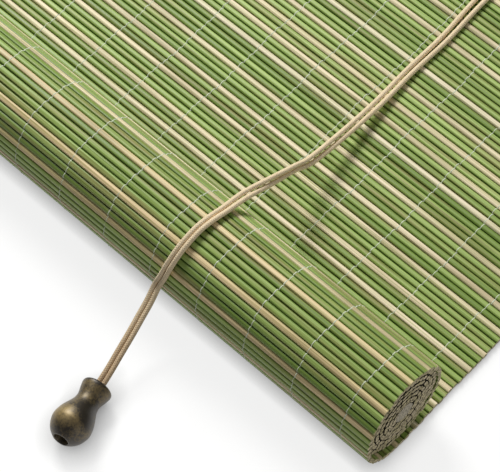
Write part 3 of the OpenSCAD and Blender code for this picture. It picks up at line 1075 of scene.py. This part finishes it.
class BLIND_OT_fittings(bpy.types.Operator):
    """Gives the rail, the rod, the hangers and the cord lock their materials"""

    bl_idname = "blind.fittings"
    bl_label = "Rail and Fittings"

    def execute(self, context):
        finishes = {
            planed_wood("planed_pine", "#dcc59a", "#b8976a"): ("head_rail",),
            planed_wood("bamboo_rod", "#cbbf9f", "#5a5039", 950): ("bottom_rod",),
            zinc_plate(): (
                "rail_nails", "hanger_left", "hanger_right", "hanger_screws", "lock_frame", "lock_pin",
                "cam_pin", "frame_screws",
            ),
            moulded_nylon(): ("lock_sheave_lower", "lock_sheave_upper", "lock_cam"),
            bpy.data.materials["braided_cotton"]: ("pull_knot",),
        }
        for material, nodes in finishes.items():
            for name in nodes:
                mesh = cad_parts[name].data
                mesh.materials.clear()
                mesh.materials.append(material)
        return {"FINISHED"}


def add_lamp(name, size, power, aim, toward, distance):
    """A square lamp that stands off from the spot it lights, in metres and watts."""
    lamp = bpy.data.lights.new(name, "AREA")
    lamp.size = size
    lamp.energy = power
    obj = bpy.data.objects.new(name, lamp)
    back = Vector(toward).normalized()
    obj.location = Vector(aim) + back * distance
    obj.rotation_euler = (-back).to_track_quat("-Z", "Y").to_euler()
    bpy.context.scene.collection.objects.link(obj)


# The camera: its place in millimetres from the blind's right end and the roll's axis, its turn, rise
# and roll in degrees, its sensor, and its focal length in parts of a picture so many parts wide.
EYE = Vector((275.26, -331.93, 992.35))
EYE_TURNS = (47.986, 61.441, -5.356)
SENSOR = 36
FOCAL = 2336.1
PICTURE = 500
# The floor: how wide it is in metres, and its height, just under the slats.
FLOOR_SIZE = 60
FLOOR_Z = -0.2 * MM
# Light of the room from all sides.
ROOM_LIGHT = 0.2


def add_camera(scene):
    """Sets the camera above the blind's lower right corner."""
    camera = bpy.data.cameras.new("camera")
    camera.sensor_width = SENSOR
    camera.lens = SENSOR * FOCAL / PICTURE
    camera.clip_end = 100
    eye = bpy.data.objects.new("camera", camera)
    turn, rise, roll = (math.radians(angle) for angle in EYE_TURNS)
    back = Vector((math.sin(turn) * math.cos(rise), -math.cos(turn) * math.cos(rise), math.sin(rise)))
    right = Vector((math.cos(turn), math.sin(turn), 0))
    up = back.cross(right)
    side = math.cos(roll) * right + math.sin(roll) * up
    top = -math.sin(roll) * right + math.cos(roll) * up
    spot = EYE * MM + Vector((RIGHT_END, scene.blind_slats.roll_y, 0))
    eye.matrix_world = Matrix((
        (side.x, top.x, back.x, spot.x),
        (side.y, top.y, back.y, spot.y),
        (side.z, top.z, back.z, spot.z),
        (0, 0, 0, 1),
    ))
    scene.collection.objects.link(eye)
    scene.camera = eye


class BLIND_OT_stage(bpy.types.Operator):
    """Sets the floor, the light and the camera"""

    bl_idname = "blind.stage"
    bl_label = "Stage"

    def execute(self, context):
        scene = context.scene
        scene.view_settings.view_transform = "Standard"
        deselect()
        bpy.ops.mesh.primitive_grid_add(
            x_subdivisions=4, y_subdivisions=4, size=FLOOR_SIZE, location=(0, 0, FLOOR_Z)
        )
        floor = context.object
        floor.name = "floor"
        floor.data.materials.append(white_paper())

        world = bpy.data.worlds.new("soft_room")
        world.use_nodes = True
        background = world.node_tree.nodes["Background"]
        background.inputs["Color"].default_value = (1, 1, 1, 1)
        background.inputs["Strength"].default_value = ROOM_LIGHT
        scene.world = world

        # A window to the left, behind the roll: far off, so it fades only a little across the blind.
        add_lamp("window_light", 0.8, 50, aim=(0.3, -0.1, 0), toward=(-0.62, 0.36, 0.70), distance=2.2)
        # A pale wall on the right gives a weak light back.
        add_lamp("wall_light", 1.2, 5, aim=(0.45, -0.2, 0), toward=(0.9, -0.25, 0.36), distance=1.8)
        add_camera(scene)
        return {"FINISHED"}


class BLIND_PT_panel(bpy.types.Panel):
    """Lists the blind's pieces"""

    bl_label = "Bamboo Blind"
    bl_idname = "BLIND_PT_panel"
    bl_space_type = "VIEW_3D"
    bl_region_type = "UI"
    bl_category = "Blind"

    def draw(self, context):
        column = self.layout.column()
        for operator in OPERATORS:
            column.operator(operator.bl_idname)


OPERATORS = (
    BLIND_OT_flat_mat, BLIND_OT_roll, BLIND_OT_threads, BLIND_OT_knob, BLIND_OT_cords,
    BLIND_OT_fittings, BLIND_OT_stage,
)
CLASSES = (SlatSizes, CordSizes, *OPERATORS, BLIND_PT_panel)


def register():
    for cls in CLASSES:
        bpy.utils.register_class(cls)
    bpy.types.Scene.blind_slats = PointerProperty(type=SlatSizes)
    bpy.types.Scene.blind_cords = PointerProperty(type=CordSizes)


def unregister():
    del bpy.types.Scene.blind_cords
    del bpy.types.Scene.blind_slats
    for cls in reversed(CLASSES):
        bpy.utils.unregister_class(cls)


def main():
    register()
    bpy.ops.blind.flat_mat()
    bpy.ops.blind.roll()
    bpy.ops.blind.threads()
    bpy.ops.blind.knob()
    bpy.ops.blind.cords()
    bpy.ops.blind.fittings()
    bpy.ops.blind.stage()
    bpy.context.view_layer.update()


if __name__ == "__main__":
    main()
